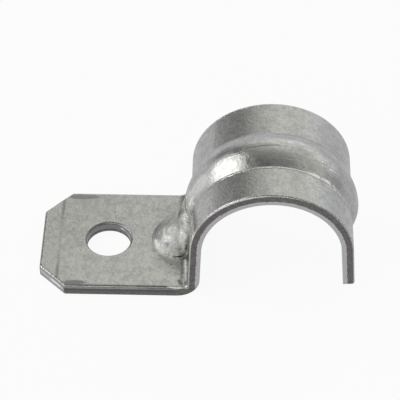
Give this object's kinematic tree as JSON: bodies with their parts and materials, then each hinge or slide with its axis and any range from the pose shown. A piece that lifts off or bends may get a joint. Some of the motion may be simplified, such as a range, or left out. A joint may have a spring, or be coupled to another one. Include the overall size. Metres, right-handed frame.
{
  "type": "conduit strap",
  "caption": "One-hole strap for a half-inch rigid conduit, pressed and folded from galvanised steel sheet, with a stiffening bead and a dart in the corner of its tab.",
  "frame": {"origin": "on the conduit's axis, at the middle of the strap's width", "axes": "+X from the fixing tab towards the free leg, +Y along the conduit, +Z away from the wall that the tab lies on"},
  "size_m": [0.0492, 0.0204, 0.0231],
  "materials": {
    "galvanised_steel": "zinc coat, mottled, half dull"
  },
  "bodies": {
    "root": {"strap": "galvanised_steel"}
  },
  "joints": []
}
